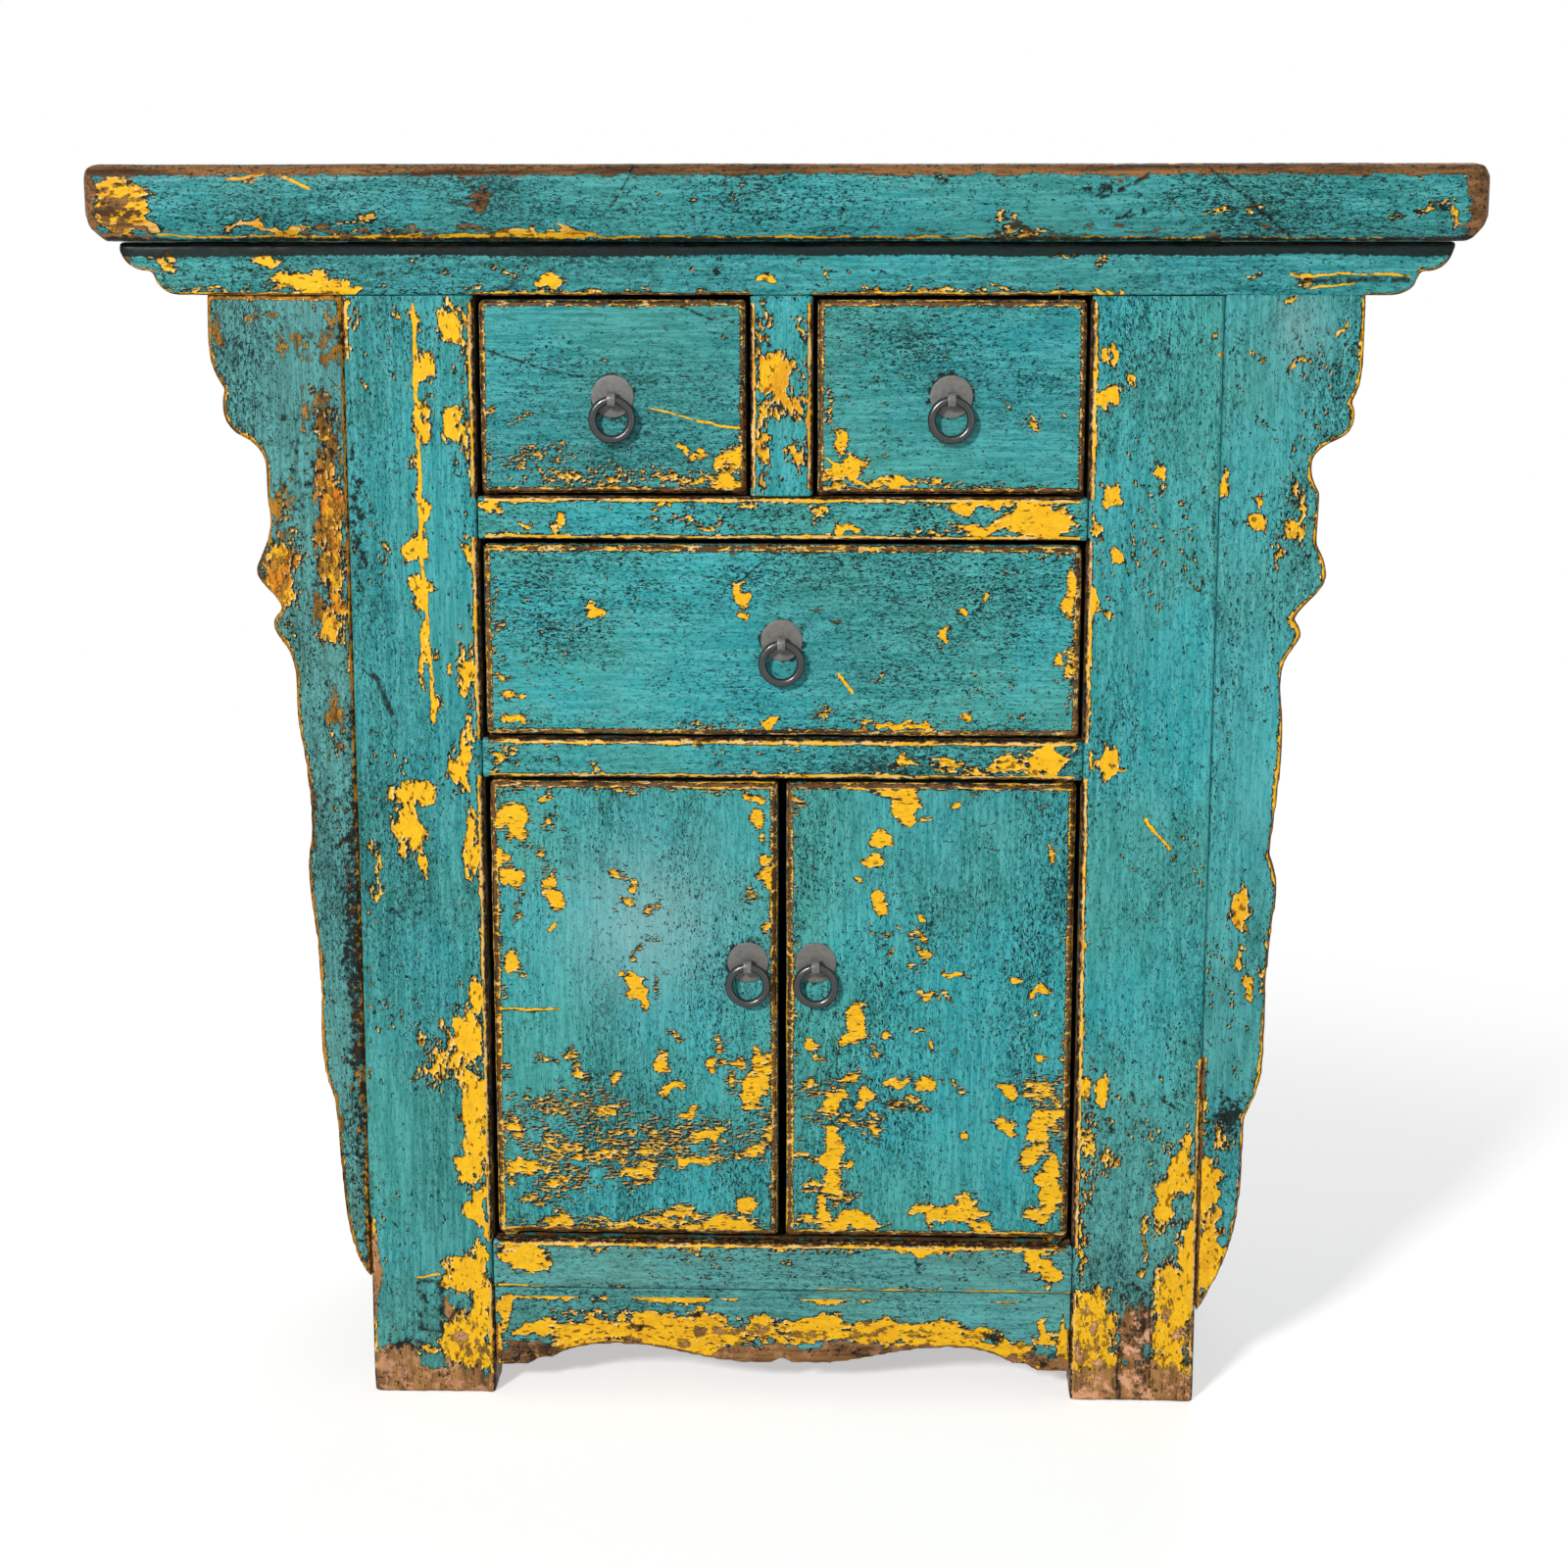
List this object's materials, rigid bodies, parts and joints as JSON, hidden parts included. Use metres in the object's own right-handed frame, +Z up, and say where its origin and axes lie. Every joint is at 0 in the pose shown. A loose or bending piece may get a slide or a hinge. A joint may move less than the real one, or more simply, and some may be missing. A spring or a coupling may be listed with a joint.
{
  "type": "credenza",
  "caption": "Painted plank credenza with a thick overhanging top, a row of drawers over a wide drawer, a pivot-door cupboard, ring pulls and fretted wings beside the front legs.",
  "frame": {"origin": "middle of the footprint of the top, on the floor", "axes": "+Z up, the front faces -Y, +X to the right seen from the front"},
  "size_m": [1.052, 0.42, 0.984],
  "materials": {
    "paint_across": "worn gloss lacquer, grain across",
    "paint_upright": "worn gloss lacquer, grain upright",
    "bare_wood": "unpainted, oiled by age",
    "iron_plate": "dull grey",
    "iron_ring": "dark, rubbed"
  },
  "bodies": {
    "carcass": {"top_front_plank": "paint_across", "top_rear_plank": "paint_across", "top_battens": "bare_wood", "frieze_board": "paint_across", "leg_front_left": "paint_upright", "leg_front_right": "paint_upright", "leg_rear_left": "paint_upright", "leg_rear_right": "paint_upright", "wing_left": "paint_upright", "wing_right": "paint_upright", "rail_middle": "paint_across", "rail_lower": "paint_across", "sill_rail": "paint_across", "apron": "paint_across", "drawer_divider": "paint_upright", "side_rails_left": "paint_across", "side_rails_right": "paint_across", "side_panel_left": "paint_upright", "side_panel_right": "paint_upright", "rear_rails": "bare_wood", "back_boards": "bare_wood", "floor_boards": "bare_wood", "floor_bearers": "bare_wood", "upper_runners": "bare_wood", "lower_runners": "bare_wood"},
    "drawer_left": {"drawer_left_front": "paint_across", "drawer_left_side_left": "bare_wood", "drawer_left_side_right": "bare_wood", "drawer_left_back": "bare_wood", "drawer_left_bottom": "bare_wood", "drawer_left_plate": "iron_plate", "drawer_left_staple": "iron_ring"},
    "drawer_right": {"drawer_right_front": "paint_across", "drawer_right_side_left": "bare_wood", "drawer_right_side_right": "bare_wood", "drawer_right_back": "bare_wood", "drawer_right_bottom": "bare_wood", "drawer_right_plate": "iron_plate", "drawer_right_staple": "iron_ring"},
    "drawer_wide": {"drawer_wide_front": "paint_across", "drawer_wide_side_left": "bare_wood", "drawer_wide_side_right": "bare_wood", "drawer_wide_back": "bare_wood", "drawer_wide_bottom": "bare_wood", "drawer_wide_plate": "iron_plate", "drawer_wide_staple": "iron_ring"},
    "door_left": {"door_left_panel": "paint_upright", "door_left_battens": "bare_wood", "door_left_plate": "iron_plate", "door_left_staple": "iron_ring"},
    "door_right": {"door_right_panel": "paint_upright", "door_right_battens": "bare_wood", "door_right_plate": "iron_plate", "door_right_staple": "iron_ring"},
    "drawer_left_ring": {"drawer_left_ring": "iron_ring"},
    "drawer_right_ring": {"drawer_right_ring": "iron_ring"},
    "drawer_wide_ring": {"drawer_wide_ring": "iron_ring"},
    "door_left_ring": {"door_left_ring": "iron_ring"},
    "door_right_ring": {"door_right_ring": "iron_ring"}
  },
  "joints": [
    {"name": "drawer_left_slide", "type": "slide", "parent": "carcass", "child": "drawer_left", "axis": [0, -1, 0], "range_m": [0, 0.24]},
    {"name": "drawer_right_slide", "type": "slide", "parent": "carcass", "child": "drawer_right", "axis": [0, -1, 0], "range_m": [0, 0.24]},
    {"name": "drawer_wide_slide", "type": "slide", "parent": "carcass", "child": "drawer_wide", "axis": [0, -1, 0], "range_m": [0, 0.24]},
    {"name": "door_left_hinge", "type": "hinge", "parent": "carcass", "child": "door_left", "pos_m": [-0.2215, -0.167, 0.132], "axis": [0, 0, -1], "range_deg": [0, 95]},
    {"name": "door_right_hinge", "type": "hinge", "parent": "carcass", "child": "door_right", "pos_m": [0.2215, -0.167, 0.132], "axis": [0, 0, 1], "range_deg": [0, 95]},
    {"name": "drawer_left_ring_swing", "type": "hinge", "parent": "drawer_left", "child": "drawer_left_ring", "pos_m": [-0.1295, -0.1885, 0.8087], "axis": [-1, 0, 0], "range_deg": [-6, 160]},
    {"name": "drawer_right_ring_swing", "type": "hinge", "parent": "drawer_right", "child": "drawer_right_ring", "pos_m": [0.1295, -0.1885, 0.8087], "axis": [-1, 0, 0], "range_deg": [-6, 160]},
    {"name": "drawer_wide_ring_swing", "type": "hinge", "parent": "drawer_wide", "child": "drawer_wide_ring", "pos_m": [0, -0.1885, 0.6212], "axis": [-1, 0, 0], "range_deg": [-6, 160]},
    {"name": "door_left_ring_swing", "type": "hinge", "parent": "door_left", "child": "door_left_ring", "pos_m": [-0.027, -0.1845, 0.3622], "axis": [-1, 0, 0], "range_deg": [-6, 160]},
    {"name": "door_right_ring_swing", "type": "hinge", "parent": "door_right", "child": "door_right_ring", "pos_m": [0.027, -0.1845, 0.3622], "axis": [-1, 0, 0], "range_deg": [-6, 160]}
  ]
}
